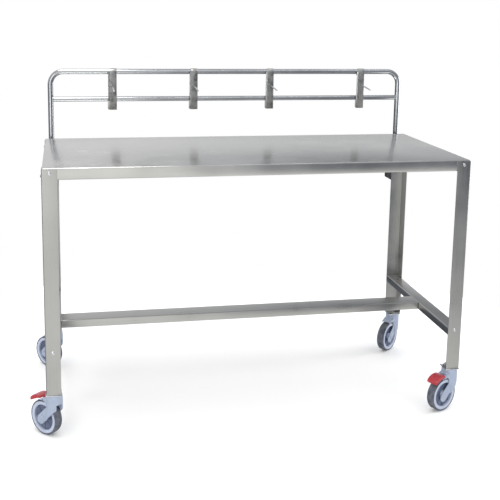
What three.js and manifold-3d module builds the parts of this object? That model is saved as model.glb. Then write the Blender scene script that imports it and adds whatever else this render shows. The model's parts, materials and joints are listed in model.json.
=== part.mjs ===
// Instrument cart: a folded stainless worktop on four angle legs and casters, with a rail hoop
// behind it that carries four sliding hangers. Millimetres, +Z up, +X to the user's right,
// -Y towards the user. The origin is on the floor, at the centre of the cart's footprint box.
import * as THREE from 'three';
import { mergeVertices } from 'three/addons/utils/BufferGeometryUtils.js';
import Module from 'manifold-3d';

const wasm = await Module();
wasm.setup();

// ---------------------------------------------------------------- driving dimensions
const clearance = 0.3; // between pieces that touch
const holeClearance = 0.4; // on the radius of a screw or pin hole

const worktop = { length: 1496, depth: 646, height: 947, sheet: 1.5, skirt: 39.5, fold: 4, lip: 15 };
const stiffener = { length: 1260, width: 96, crown: 50, drop: 28, sheet: 1.5 };
const leg = { flange: 51, sheet: 2, bend: 4, foot: 6, footStep: 0.8, footCorner: 18, boltBelowTop: 17 };
const brace = { height: 322, fall: 30, sheet: 1.5, fold: 3, lip: 8, centreWidth: 76, boltBelowTop: 10 };
const bolt = { shankRadius: 3, headRadius: 6.5, headHeight: 3.2, grip: 8, domeSteps: 3 };
const hoop = { tubeRadius: 10.6, bendRadius: 51, railHeight: 1208, midRailRadius: 9.8, midRailHeight: 1098 };
const socket = { depth: 80, height: 64, bottom: 746, floor: 10 };
const guide = { behind: 17, height: 32, bottom: 862 };
const hanger = {
  width: 36,
  sheet: 1.5,
  drop: 153,
  hookTail: 16,
  play: 0.3,
  wing: 9.5, // the strip at the left edge that is folded forwards
  wingAngle: 45,
  wingDrop: 116,
  cornerRadius: 8,
};
const peg = { radius: 2.8, length: 142, below: 51.5, slope: 5 };
const hangerPlaces = [-483, -156, 161, 552];
const caster = {
  wheelRadius: 62.5,
  trail: 40,
  treadWidth: 32,
  treadThickness: 5,
  treadShoulder: 4,
  kingpinRadius: 6,
  kingpinChamfer: 1,
  raceRadius: 26,
  raceHeight: 3.4,
  footHeight: 160,
};
const housing = {
  headRadius: 28,
  headReach: 21, // from the kingpin to where the fender leaves the head
  headSide: 8,
  width: 42,
  wheelRoom: 17.3, // half the slot for the wheel
  wheelGap: 3.5, // between tyre and housing
  armWidth: 33.6,
  tipForward: 8,
  tipDrop: 7.5,
  armTop: 24,
  armNotch: 2,
  armShoulder: [7, 4], // beside the top of the arm: back, up
  fenderEdge: 60, // from the axle, along the fender's side walls
  fenderEnd: 64,
  tongueSlot: [29, 54], // for the brake pedal, from the kingpin
};
// The fender's back seen from the side, from the head's top corner: behind, up.
const fenderBack = [[0, -14.5], [15, -19.5], [26, -24.5], [43, -33.5], [46, -37.5]];
const rim = { faceWidth: 30, innerRing: 43, recess: 4, hubRadius: 15, hubWidth: 34 };
const axle = { radius: 5, headRadius: 8.5, headHeight: 1.5, chamfer: 1, rim: 0.5 };
const nut = { acrossFlats: 19, height: 10, proud: 4 };
const pedal = {
  width: 43,
  tongue: 16,
  play: 0.6,
  bossRadius: 4.2,
  pinRadius: 2.5,
  pivotTrail: 36,
  pivotDrop: 25.5,
};
// The brake pedal seen from the side, from its pin: behind, up.
const paddleOutline = [
  [10, 3.7], [28, -1.5], [43, -8.5], [54, -13.5], [60, -13.5],
  [62, -9], [55, -3.5], [41, 2], [26, 6.5], [10, 8.1],
];
const tongueRoot = [[12, 3.7], [12, 7.6]];

// Where each caster stands, and the way its wheel trails at rest, in degrees about +Z.
const corners = [
  { name: 'front_left', x: -1, y: -1, trailAngle: 133.5, braked: true },
  { name: 'front_right', x: 1, y: -1, trailAngle: 206.5, braked: true },
  { name: 'rear_left', x: -1, y: 1, trailAngle: 133, braked: false },
  { name: 'rear_right', x: 1, y: 1, trailAngle: 220.5, braked: false },
];

// ---------------------------------------------------------------- derived sizes
const outerX = worktop.length / 2 + clearance + leg.sheet; // outer faces of the legs
const outerY = worktop.depth / 2 + clearance + leg.sheet;
const legCentre = leg.flange / 2; // bolt line and kingpin, from the leg's outer faces
const pinX = outerX - legCentre;
const pinY = outerY - legCentre;
const boltTopHeight = worktop.height - leg.boltBelowTop;
const boltLowHeight = brace.height - brace.boltBelowTop;
const hoopX = pinX;
const hoopY = outerY + clearance + socket.depth / 2;
const axleHeight = caster.wheelRadius;
const headTop = caster.footHeight - clearance - caster.raceHeight - clearance;

// ---------------------------------------------------------------- materials
const finish = (color, roughness, metalness) => new THREE.MeshStandardMaterial({
  color,
  roughness,
  metalness,
});
const brushedSteel = finish(0xa9aaa8, 0.38, 1);
const polishedSteel = finish(0xc4c6c6, 0.18, 1);
const boltSteel = finish(0xd2d4d6, 0.22, 1);
const housingGrey = finish(0xa9b0c0, 0.45, 0);
const rimGrey = finish(0xaeb6c6, 0.4, 0);
const treadGrey = finish(0x4b5160, 0.7, 0);
const pedalRed = finish(0xc62a33, 0.35, 0);
const blackPlastic = finish(0x17181a, 0.55, 0);

// ---------------------------------------------------------------- solids
const cart = new THREE.Group();
const weld = 1e-4;
const roundSides = 24; // a multiple of four, so that a wheel stands on a corner of its outline
const smallSides = 12;
const tubeSides = 16;
const foldSteps = 4; // facets of a small arc in an outline
const curveSteps = 8; // facets of a larger one
const hookSteps = 10;

// A closed three.js geometry as a manifold solid, with shared corners merged.
function solidFrom(geometry) {
  geometry.deleteAttribute('normal');
  geometry.deleteAttribute('uv');
  const merged = mergeVertices(geometry, weld);
  const corner = merged.index.array;
  const triangles = [];
  for (let i = 0; i < corner.length; i += 3) {
    const [a, b, c] = [corner[i], corner[i + 1], corner[i + 2]];
    if (a !== b && b !== c && c !== a) triangles.push(a, b, c);
  }
  return new wasm.Manifold(new wasm.Mesh({
    numProp: 3,
    vertProperties: new Float32Array(merged.attributes.position.array),
    triVerts: new Uint32Array(triangles),
  }));
}

function geometryFrom(solid) {
  const mesh = solid.getMesh();
  const geometry = new THREE.BufferGeometry();
  geometry.setAttribute('position', new THREE.BufferAttribute(mesh.vertProperties, 3));
  geometry.setIndex(new THREE.BufferAttribute(mesh.triVerts, 1));
  geometry.computeVertexNormals();
  return geometry;
}

const join = (first, ...rest) => rest.reduce((whole, piece) => whole.add(piece), first);
const cut = (first, ...rest) => rest.reduce((whole, piece) => whole.subtract(piece), first);

function addPart(name, solid, material, parent = cart) {
  const mesh = new THREE.Mesh(geometryFrom(solid), material);
  mesh.name = name;
  parent.add(mesh);
  return mesh;
}

function block([x0, x1], [y0, y1], [z0, z1]) {
  const geometry = new THREE.BoxGeometry(x1 - x0, y1 - y0, z1 - z0);
  geometry.translate((x0 + x1) / 2, (y0 + y1) / 2, (z0 + z1) / 2);
  return solidFrom(geometry);
}

// A straight round bar between two points.
function bar(radius, start, end, sides = roundSides) {
  const from = new THREE.Vector3(...start);
  const run = new THREE.Vector3(...end).sub(from);
  const geometry = new THREE.CylinderGeometry(radius, radius, run.length(), sides);
  geometry.translate(0, run.length() / 2, 0);
  geometry.applyQuaternion(new THREE.Quaternion().setFromUnitVectors(
    new THREE.Vector3(0, 1, 0),
    run.normalize(),
  ));
  geometry.translate(from.x, from.y, from.z);
  return solidFrom(geometry);
}

// An outline swept straight along an axis. Outlines are in (y, z) for 'x', (x, z) for 'y'
// and (x, y) for 'z'.
function sweep(axis, outline, from, to) {
  const geometry = new THREE.ExtrudeGeometry(new THREE.Shape(outline), {
    depth: to - from,
    bevelEnabled: false,
    curveSegments: curveSteps,
  });
  const [X, Y, Z] = [new THREE.Vector3(1, 0, 0), new THREE.Vector3(0, 1, 0), new THREE.Vector3(0, 0, 1)];
  const turn = new THREE.Matrix4();
  if (axis === 'x') turn.makeBasis(Y, Z, X).setPosition(from, 0, 0);
  if (axis === 'y') turn.makeBasis(X, Z, Y.negate()).setPosition(0, to, 0);
  if (axis === 'z') turn.setPosition(0, 0, from);
  return solidFrom(geometry.applyMatrix4(turn));
}

// A round piece about an axis. Its profile is [radius, height along the axis] points, closed,
// with its outer side running up.
function turned(axis, profile, sides = roundSides) {
  const points = profile.map(([radius, height]) => new THREE.Vector2(radius, height));
  const geometry = new THREE.LatheGeometry([...points, points[0].clone()], sides);
  if (axis === 'z') geometry.rotateX(Math.PI / 2);
  return solidFrom(geometry);
}

// Points on an arc about a centre, angles in degrees.
function arc([cx, cy], radius, start, end, steps) {
  return Array.from({ length: steps + 1 }, (_, i) => {
    const angle = THREE.MathUtils.degToRad(start + (end - start) * i / steps);
    return new THREE.Vector2(cx + radius * Math.cos(angle), cy + radius * Math.sin(angle));
  });
}

const vec2 = (...points) => points.map(([x, y]) => new THREE.Vector2(x, y));

// A tray of folded sheet, open side down: a flat top with four skirts, rounded folds, and a
// narrow lip turned inwards along the bottom.
function foldedTray({ x, y, top, fall, sheet, fold, lip }) {
  const form = (inset, radius, roof, floor) => {
    const [halfX, halfY] = [x / 2 - inset - radius, y / 2 - inset - radius];
    const outline = vec2([-halfX, -halfY], [halfX, -halfY], [halfX, halfY], [-halfX, halfY]);
    const geometry = new THREE.ExtrudeGeometry(new THREE.Shape(outline), {
      depth: roof - floor,
      bevelSize: radius,
      bevelThickness: radius,
      bevelSegments: 3,
    });
    geometry.translate(0, 0, floor - radius);
    return solidFrom(geometry).subtract(
      block([-x, x], [-y, y], [floor - 3 * radius, floor]),
    );
  };
  const outside = form(0, fold, top, top - fall);
  const inside = form(sheet, fold - sheet, top - sheet, top - fall + sheet);
  const mouth = block(
    [-x / 2 + lip, x / 2 - lip],
    [-y / 2 + lip, y / 2 - lip],
    [top - fall - sheet, top - fall + 2 * sheet],
  );
  return cut(outside, inside, mouth);
}

// A cutter for the bolt that passes through the front or rear face of a leg.
function boltHole(sideX, sideY, height) {
  const y = sideY * outerY;
  return bar(
    bolt.shankRadius + holeClearance,
    [sideX * pinX, y + bolt.grip * 2, height],
    [sideX * pinX, y - bolt.grip * 2, height],
    smallSides,
  );
}

const boltHoles = (height) => corners.map(({ x, y }) => boltHole(x, y, height));

// ---------------------------------------------------------------- frame and worktop
function addWorktop() {
  const pan = foldedTray({
    x: worktop.length,
    y: worktop.depth,
    top: worktop.height,
    fall: worktop.skirt,
    sheet: worktop.sheet,
    fold: worktop.fold,
    lip: worktop.lip,
  });
  addPart('worktop', cut(pan, ...boltHoles(boltTopHeight)), polishedSteel);
}

// A hat section bonded along the underside of the worktop.
function addStiffener() {
  const roof = worktop.height - worktop.sheet - clearance;
  const [half, crown, t] = [stiffener.width / 2, stiffener.crown / 2, stiffener.sheet];
  const hat = vec2(
    [-half, roof], [-half, roof - t], [-crown, roof - t], [-crown, roof - stiffener.drop],
    [crown, roof - stiffener.drop], [crown, roof - t], [half, roof - t], [half, roof],
    [crown - t, roof], [crown - t, roof - stiffener.drop + t],
    [t - crown, roof - stiffener.drop + t], [t - crown, roof],
  );
  const hatSection = sweep('x', hat, -stiffener.length / 2, stiffener.length / 2);
  addPart('worktop_stiffener', hatSection, brushedSteel);
}

// An angle leg with its bend at the cart's corner, and the foot plate welded into its lower end.
function addLeg({ name, x: sideX, y: sideY }) {
  const { flange, sheet, bend, foot, footStep, footCorner } = leg;
  const angleOutline = [
    ...vec2([flange, sheet], [flange, 0]),
    ...arc([bend, bend], bend, 270, 180, foldSteps),
    ...vec2([0, flange], [sheet, flange], [sheet, sheet]),
  ];
  const footOutline = [
    ...vec2([flange - footStep, footStep]),
    ...arc([bend, bend], bend - footStep, 270, 180, foldSteps),
    ...vec2([footStep, flange - footStep]),
    ...vec2([flange - footStep - footCorner, flange - footStep]),
    ...vec2([flange - footStep, flange - footStep - footCorner]),
  ];
  const place = (outline) => outline.map(({ x, y }) => new THREE.Vector2(
    sideX * (outerX - x),
    sideY * (outerY - y),
  ));
  const footTop = caster.footHeight + foot;
  const angle = sweep('z', place(angleOutline), footTop - footStep, worktop.height - worktop.fold);
  const plate = sweep('z', place(footOutline), caster.footHeight, footTop);
  const kingpinHole = bar(
    caster.kingpinRadius + holeClearance,
    [sideX * pinX, sideY * pinY, caster.footHeight - foot],
    [sideX * pinX, sideY * pinY, footTop + foot],
    smallSides,
  );
  const solid = cut(
    join(angle, plate),
    kingpinHole,
    boltHole(sideX, sideY, boltTopHeight),
    boltHole(sideX, sideY, boltLowHeight),
  );
  addPart(`leg_${name}`, solid, brushedSteel);
}

// The H of folded trays that ties the legs together below.
function addBrace() {
  const tray = (x, y) => foldedTray({
    x,
    y,
    top: brace.height,
    fall: brace.fall,
    sheet: brace.sheet,
    fold: brace.fold,
    lip: brace.lip,
  });
  const sideWidth = leg.flange - leg.sheet - clearance;
  const sideLength = 2 * (outerY - leg.sheet - clearance);
  const sideCentre = outerX - leg.sheet - clearance - sideWidth / 2;
  for (const [name, side] of [['left', -1], ['right', 1]]) {
    const rail = tray(sideWidth, sideLength).translate([side * sideCentre, 0, 0]);
    addPart(`side_rail_${name}`, cut(rail, ...boltHoles(boltLowHeight)), brushedSteel);
  }
  const centreLength = 2 * (sideCentre - sideWidth / 2 - clearance);
  addPart('centre_rail', tray(centreLength, brace.centreWidth), brushedSteel);
}

// Dome-headed bolts through the front and rear faces of the legs.
function addBolts({ name, x: sideX, y: sideY }) {
  const { shankRadius, headRadius, headHeight, grip } = bolt;
  const dome = arc([0, 0], 1, 0, 90, bolt.domeSteps).map(({ x, y }) => [
    x * headRadius,
    clearance + y * headHeight,
  ]);
  const profile = [
    [0, -grip],
    [shankRadius, -grip],
    [shankRadius, clearance],
    ...dome.slice(0, -1),
    [0, clearance + headHeight],
  ];
  for (const [level, height] of [['top', boltTopHeight], ['low', boltLowHeight]]) {
    const mesh = addPart(`leg_bolt_${level}_${name}`, turned('y', profile, smallSides), boltSteel);
    mesh.position.set(sideX * pinX, sideY * outerY, height);
    mesh.rotation.z = sideY > 0 ? 0 : Math.PI;
  }
}

// ---------------------------------------------------------------- rail hoop
// A tube path given as points with their directions, used exactly as listed.
class TubePath extends THREE.Curve {
  constructor(points, directions) {
    super();
    this.points = points;
    this.directions = directions;
  }

  getPoint(t) {
    return this.points[Math.round(t * (this.points.length - 1))].clone();
  }

  getTangent(t) {
    return this.directions[Math.round(t * (this.directions.length - 1))].clone();
  }

  getUtoTmapping(u) {
    return u;
  }
}

function addHoop() {
  const { tubeRadius, bendRadius, railHeight, midRailRadius, midRailHeight } = hoop;
  const foot = socket.bottom + socket.floor + clearance;
  const points = [];
  const directions = [];
  const bend = (centreX, start) => {
    for (let i = 0; i <= curveSteps; i += 1) {
      const angle = start - (Math.PI / 2) * (i / curveSteps);
      const [c, s] = [Math.cos(angle), Math.sin(angle)];
      const height = railHeight - bendRadius + bendRadius * s;
      points.push(new THREE.Vector3(centreX + bendRadius * c, hoopY, height));
      directions.push(new THREE.Vector3(s, 0, -c));
    }
  };
  points.push(new THREE.Vector3(-hoopX, hoopY, foot));
  directions.push(new THREE.Vector3(0, 0, 1));
  bend(bendRadius - hoopX, Math.PI);
  bend(hoopX - bendRadius, Math.PI / 2);
  points.push(new THREE.Vector3(hoopX, hoopY, foot));
  directions.push(new THREE.Vector3(0, 0, -1));

  const section = new THREE.Shape(arc([0, 0], tubeRadius, 0, 360, tubeSides).slice(0, -1));
  const tube = solidFrom(new THREE.ExtrudeGeometry(section, {
    steps: points.length - 1,
    extrudePath: new TubePath(points, directions),
  }));
  addPart('rail_hoop', tube, polishedSteel);

  // The middle rail, its ends hollowed to sit round the uprights.
  const upright = (side) => bar(
    tubeRadius + clearance,
    [side * hoopX, hoopY, midRailHeight - 4 * midRailRadius],
    [side * hoopX, hoopY, midRailHeight + 4 * midRailRadius],
  );
  const middle = bar(midRailRadius, [-hoopX, hoopY, midRailHeight], [hoopX, hoopY, midRailHeight]);
  addPart('mid_rail', cut(middle, upright(-1), upright(1)).decompose()[0], polishedSteel);
}

// A moulded socket under each upright and a guide above it, both on the rear legs.
function addHoopMounts() {
  const bore = (side, low, high) => bar(
    hoop.tubeRadius + clearance,
    [side * hoopX, hoopY, low],
    [side * hoopX, hoopY, high],
  );
  const front = outerY + clearance;
  for (const [name, side] of [['left', -1], ['right', 1]]) {
    const across = [side * hoopX - legCentre, side * hoopX + legCentre];
    const socketTop = socket.bottom + socket.height;
    const socketBlock = block(across, [front, front + socket.depth], [socket.bottom, socketTop]);
    const socketBore = bore(side, socket.bottom + socket.floor, socketTop + socket.floor);
    addPart(`hoop_socket_${name}`, cut(socketBlock, socketBore), blackPlastic);

    const guideBack = hoopY + hoop.tubeRadius + guide.behind;
    const guideTop = guide.bottom + guide.height;
    const guideBlock = block(across, [front, guideBack], [guide.bottom, guideTop]);
    const guideBore = bore(side, guide.bottom - guide.height, guideTop + guide.height);
    addPart(`hoop_guide_${name}`, cut(guideBlock, guideBore), blackPlastic);
  }
}

// ---------------------------------------------------------------- hangers
// A strip hooked over the top rail and resting against the middle one. Down to the middle rail
// its left edge is folded forwards as a wing. A thin peg points at the user.
function addHanger(place, index) {
  const { width, sheet, drop, hookTail, play, wing, wingAngle, wingDrop } = hanger;
  const inner = hoop.tubeRadius + play;
  const outer = inner + sheet;
  const rail = [hoopY, hoop.railHeight];
  const strip = [
    ...vec2([rail[0] - outer, rail[1] - drop]),
    ...vec2([rail[0] - inner, rail[1] - drop]),
    ...arc(rail, inner, 180, 0, hookSteps),
    ...vec2([rail[0] + inner, rail[1] - hookTail], [rail[0] + outer, rail[1] - hookTail]),
    ...arc(rail, outer, 0, 180, hookSteps),
  ];
  const face = hoopY - outer;
  const [left, right] = [place - width / 2, place + width / 2];
  const fold = left + wing;
  const turn = THREE.MathUtils.degToRad(wingAngle);
  const along = ([x, y], distance) => [x - distance * Math.cos(turn), y - distance * Math.sin(turn)];
  const across = ([x, y], distance) => [x - distance * Math.sin(turn), y + distance * Math.cos(turn)];
  const root = [fold, face];
  const tip = along(root, wing);
  const wingOutline = vec2(
    [fold + sheet, face],
    root,
    tip,
    across(tip, sheet),
    [fold - sheet * Math.tan(turn / 2), face + sheet],
    [fold + sheet, face + sheet],
  );
  const wingFoot = rail[1] - wingDrop;
  const blank = cut(
    sweep('x', strip, left, right),
    block([left - wing, fold], [face - width, hoopY + width], [wingFoot, rail[1] + width]),
    lowerCorner(left, face, rail[1] - drop),
  );
  const pegHeight = rail[1] - peg.below;
  const slope = THREE.MathUtils.degToRad(peg.slope);
  const down = (distance) => [
    place,
    face + sheet - distance * Math.cos(slope),
    pegHeight - distance * Math.sin(slope),
  ];
  const plate = join(blank, sweep('z', wingOutline.reverse(), wingFoot, rail[1]));
  const hole = bar(peg.radius + clearance, down(-4 * sheet), down(4 * sheet), smallSides);
  const rod = bar(peg.radius, down(sheet / 2), down(peg.length), smallSides);
  addPart(`hanger_${index + 1}`, cut(plate, hole), brushedSteel);
  addPart(`hanger_peg_${index + 1}`, rod, boltSteel);
}

// A cutter that rounds the lower left corner of a hanger.
function lowerCorner(left, face, bottom) {
  const round = hanger.cornerRadius;
  const outline = [
    ...vec2([left - round, bottom - round], [left + round, bottom - round]),
    ...vec2([left + round, bottom]),
    ...arc([left + round, bottom + round], round, 270, 180, foldSteps).slice(1),
    ...vec2([left - round, bottom + round]),
  ];
  return sweep('y', outline, face - round, face + round);
}

// ---------------------------------------------------------------- casters
// Each caster is built about its kingpin, its wheel trailing along its own +X and its axle
// along its own Y. Side outlines are in (x, z).
const wheelCentre = [caster.trail, axleHeight];
const armTip = [caster.trail + housing.tipForward, axleHeight - housing.tipDrop];
const pivot = [pedal.pivotTrail, headTop - pedal.pivotDrop];
const shifted = ([x, z], offsets) => vec2(...offsets.map(([dx, dz]) => [x + dx, z + dz]));

function acrossWheel(radius, [x, z], half, sides = smallSides) {
  return bar(radius, [x, -half, z], [x, half, z], sides);
}

// The housing seen from the side: head, fender sloping down behind it, and an arm that runs
// down at 45 degrees to end round the axle.
function housingOutline() {
  const { headReach, headSide, armWidth, armTop, armNotch, armShoulder, fenderEdge, fenderEnd } = housing;
  const reach = armWidth / 2;
  const upperLine = armTip[0] + armTip[1] + reach * Math.SQRT2; // x + z along the arm's edges
  const lowerLine = armTip[0] + armTip[1] - reach * Math.SQRT2;
  const edgeAngle = (x) => THREE.MathUtils.radToDeg(Math.acos((x - caster.trail) / fenderEdge));
  return [
    ...vec2([-headReach, headTop - headSide], [headReach, headTop - headSide]),
    ...shifted([headReach, headTop], fenderBack),
    ...arc(wheelCentre, fenderEdge, edgeAngle(fenderEnd), edgeAngle(armTop - armNotch), curveSteps),
    ...shifted([armTop, upperLine - armTop], [[-armShoulder[0], armShoulder[1]], [0, 0]]),
    ...arc(armTip, reach, 45, -135, curveSteps),
    ...vec2([-headReach, lowerLine + headReach]),
  ];
}

// The moulded housing: a round head on the kingpin, with the wheel's room cut out of it.
function housingSolid(braked) {
  const { headRadius, width, wheelRoom, wheelGap } = housing;
  const half = width / 2;
  const side = sweep('y', housingOutline(), -half, half);
  const head = bar(headRadius, [0, 0, axleHeight], [0, 0, headTop]);
  const slope = armTip[0] + armTip[1] - housing.armWidth / Math.SQRT2;
  const far = 2 * headRadius;
  const underside = sweep('y', vec2([-far, -far], [slope + far, -far], [-far, slope + far]), -far, far);
  const behind = block([armTip[0] - housing.armWidth, 2 * far], [-far, far], [0, headTop - far]);
  const wheelSlot = acrossWheel(caster.wheelRadius + wheelGap, wheelCentre, wheelRoom, roundSides * 2);
  const body = cut(
    join(side, cut(head, underside, behind)),
    wheelSlot,
    bar(caster.kingpinRadius + clearance, [0, 0, axleHeight], [0, 0, caster.footHeight], smallSides),
    acrossWheel(axle.radius + clearance, wheelCentre, width),
  );
  if (!braked) return body;
  const slotHalf = pedal.tongue / 2 + pedal.play;
  const tongueSlot = block(
    housing.tongueSlot,
    [-slotHalf, slotHalf],
    [axleHeight, headTop],
  );
  return cut(body, tongueSlot, acrossWheel(pedal.pinRadius + clearance, pivot, width));
}

// A red foot paddle whose tongue lies in a slot in the fender and turns on a pin across it.
function pedalSolid() {
  const paddle = shifted(pivot, paddleOutline);
  const tongue = [
    ...arc(pivot, pedal.bossRadius, 90, 290, curveSteps),
    ...shifted(pivot, tongueRoot),
  ];
  const solid = join(
    sweep('y', paddle, -pedal.width / 2, pedal.width / 2),
    sweep('y', tongue, -pedal.tongue / 2, pedal.tongue / 2),
  );
  return cut(solid, acrossWheel(pedal.pinRadius + clearance, pivot, pedal.width));
}

// The rim, its sides recessed inside a raised ring, and its hub just inside the arms.
function rimSolid() {
  const radius = caster.wheelRadius - caster.treadThickness;
  const [face, hub] = [rim.faceWidth / 2, rim.hubWidth / 2];
  const floor = face - rim.recess;
  const bore = axle.radius + clearance;
  return turned('y', [
    [bore, -hub], [rim.hubRadius, -hub], [rim.hubRadius, -floor], [rim.innerRing, -floor],
    [rim.innerRing, -face], [radius, -face], [radius, face], [rim.innerRing, face],
    [rim.innerRing, floor], [rim.hubRadius, floor], [rim.hubRadius, hub], [bore, hub],
  ]);
}

function tyreSolid() {
  const inner = caster.wheelRadius - caster.treadThickness + clearance;
  const half = caster.treadWidth / 2;
  const shoulder = caster.treadShoulder;
  const round = (height, start) => arc(
    [caster.wheelRadius - shoulder, height],
    shoulder,
    start,
    start + 90,
    foldSteps / 2,
  ).map(({ x, y }) => [x, y]);
  return turned('y', [
    [inner, -half],
    ...round(shoulder - half, -90),
    ...round(half - shoulder, 0),
    [inner, half],
  ]);
}

function axleSolid() {
  const grip = housing.width / 2 + clearance;
  const end = grip + axle.headHeight;
  const top = axle.headRadius - axle.chamfer;
  return turned('y', [
    [0, -end], [top, -end], [axle.headRadius, -grip - axle.rim], [axle.headRadius, -grip],
    [axle.radius, -grip], [axle.radius, grip], [axle.headRadius, grip],
    [axle.headRadius, grip + axle.rim], [top, end], [0, end],
  ], smallSides);
}

// The fixed race with its kingpin, which passes up through the foot plate to the nut.
function baseSolid() {
  const raceBottom = headTop + clearance;
  const raceTop = raceBottom + caster.raceHeight;
  const pinTop = caster.footHeight + leg.foot + nut.height + nut.proud;
  const pinBottom = axleHeight + caster.wheelRadius + housing.wheelGap;
  const { kingpinRadius, kingpinChamfer } = caster;
  return turned('z', [
    [0, pinTop], [kingpinRadius - kingpinChamfer, pinTop], [kingpinRadius, pinTop - kingpinChamfer],
    [kingpinRadius, raceTop], [caster.raceRadius, raceTop], [caster.raceRadius, raceBottom],
    [kingpinRadius, raceBottom], [kingpinRadius, pinBottom], [0, pinBottom],
  ].reverse(), smallSides);
}

function nutSolid() {
  const radius = nut.acrossFlats / Math.sqrt(3);
  const low = caster.footHeight + leg.foot + clearance;
  const hexagon = arc([0, 0], radius, 0, 300, 5);
  const hole = bar(
    caster.kingpinRadius + clearance,
    [0, 0, low - nut.height],
    [0, 0, low + 2 * nut.height],
    smallSides,
  );
  return cut(sweep('z', hexagon, low, low + nut.height), hole);
}

function addCaster({ name, x: sideX, y: sideY, trailAngle, braked }) {
  const group = new THREE.Group();
  group.position.set(sideX * pinX, sideY * pinY, 0);
  group.rotation.z = THREE.MathUtils.degToRad(trailAngle);
  cart.add(group);
  addPart(`caster_base_${name}`, baseSolid(), boltSteel, group);
  addPart(`caster_nut_${name}`, nutSolid(), boltSteel, group);
  addPart(`caster_housing_${name}`, housingSolid(braked), housingGrey, group);
  addPart(`wheel_axle_${name}`, axleSolid(), boltSteel, group).position.set(caster.trail, 0, axleHeight);
  addPart(`wheel_rim_${name}`, rimSolid(), rimGrey, group).position.set(caster.trail, 0, axleHeight);
  addPart(`wheel_tyre_${name}`, tyreSolid(), treadGrey, group).position.set(caster.trail, 0, axleHeight);
  if (!braked) return;
  const pin = acrossWheel(pedal.pinRadius, pivot, housing.width / 2);
  addPart(`brake_pedal_${name}`, pedalSolid(), pedalRed, group);
  addPart(`brake_pin_${name}`, pin, boltSteel, group);
}

// ---------------------------------------------------------------- assembly
addWorktop();
addStiffener();
addBrace();
addHoop();
addHoopMounts();
hangerPlaces.forEach(addHanger);
for (const corner of corners) {
  addLeg(corner);
  addBolts(corner);
  addCaster(corner);
}

// The origin goes to the centre of the footprint.
cart.updateMatrixWorld(true);
const middle = new THREE.Box3().setFromObject(cart, true).getCenter(new THREE.Vector3());
cart.position.set(-middle.x, -middle.y, 0);

export default cart;
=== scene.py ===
import json
import math

import bmesh
import bpy
from mathutils import Matrix, Vector


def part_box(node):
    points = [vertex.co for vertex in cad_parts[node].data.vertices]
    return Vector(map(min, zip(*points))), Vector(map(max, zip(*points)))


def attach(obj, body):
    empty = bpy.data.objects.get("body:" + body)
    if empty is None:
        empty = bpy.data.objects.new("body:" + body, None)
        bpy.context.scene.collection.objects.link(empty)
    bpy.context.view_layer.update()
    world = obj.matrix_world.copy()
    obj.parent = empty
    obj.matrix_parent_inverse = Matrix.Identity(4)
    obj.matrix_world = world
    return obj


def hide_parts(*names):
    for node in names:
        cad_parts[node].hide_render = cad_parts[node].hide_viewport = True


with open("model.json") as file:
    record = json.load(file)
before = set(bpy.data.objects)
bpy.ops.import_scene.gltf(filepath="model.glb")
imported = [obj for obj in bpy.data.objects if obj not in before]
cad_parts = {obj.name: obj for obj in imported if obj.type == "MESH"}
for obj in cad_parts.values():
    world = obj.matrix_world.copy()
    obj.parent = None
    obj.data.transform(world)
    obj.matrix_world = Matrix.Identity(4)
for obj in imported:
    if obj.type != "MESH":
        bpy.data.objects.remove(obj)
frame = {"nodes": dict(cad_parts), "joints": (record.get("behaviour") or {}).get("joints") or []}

bl_info = {
    "name": "Instrument Cart",
    "version": (1, 0, 0),
    "blender": (4, 5, 0),
    "location": "View3D > Sidebar > Cart",
    "description": "Finishes the packed frame of a stainless instrument cart",
    "category": "Object",
}

MM = 0.001
GAP = 0.3 * MM  # what keeps two pieces apart
MERGE = 1e-6  # metres within which two vertices are one
CREASE = 35  # degrees at which an edge stays sharp
UP = Vector((0, 0, 1))
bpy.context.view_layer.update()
CORNERS = {"front_left": (-1, -1), "front_right": (1, -1), "rear_left": (-1, 1), "rear_right": (1, 1)}
SIDES = ("left", "right")
HANGERS = (1, 2, 3, 4)
BRAKED = ("front_left", "front_right")
JOINTS = {joint["name"]: joint for joint in frame["joints"]}
ROUND = 48  # sides of a turned piece
FOLD_STEPS = 5  # facets of a folded edge
BEND_STEPS = 16  # facets of a tube's bend

# Outlines in mm. A pedal's domed back: back from its tip, and up from its highest point.
PEDAL_DOME = (
    (50, -2), (50, 1.5), (36, 2.4), (22, 0.4), (10, -5.5), (2, -13), (0, -19), (3, -25), (7, -22),
    (20, -14), (34, -7),
)
PEDAL_GRID = 0.8 * MM  # the grid that rounds a pedal's edges
# A hoop mount's collar: out from the tube, and up from the moulding.
MOUNT_COLLAR = ((0.3, 0), (5, 0), (4.4, 1.6), (1.2, 1.6), (0.3, 0.8))
# A caster housing's collar and the groove under it: radius, and height from the top.
HOUSING_COLLAR = ((8, -9), (28.6, -9), (28.6, -2), (26.6, 0), (8, 0))
HOUSING_GROOVE = ((27.4, -0.8), (40, -0.8), (40, 0.8), (27.4, 0.8))
GROOVE_DROP = 10.5 * MM
# What opens a housing's front: a block's lowest corner, its far corner, and its depth from the top.
WINDOW_LOW, WINDOW_HIGH, WINDOW_DROP = (-40 * MM, -12 * MM, 30 * MM), (8 * MM, 12 * MM), 34 * MM
# What clears the tread under a housing's fender: a disc about the axle, and a point beyond it.
FENDER_AXLE, FENDER_RADIUS, FENDER_ARC = (40 * MM, 62.5 * MM), 64.8 * MM, (-27, 102.5)
FENDER_POINT, FENDER_HALF = (26 * MM, 105 * MM), 30 * MM

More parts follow.
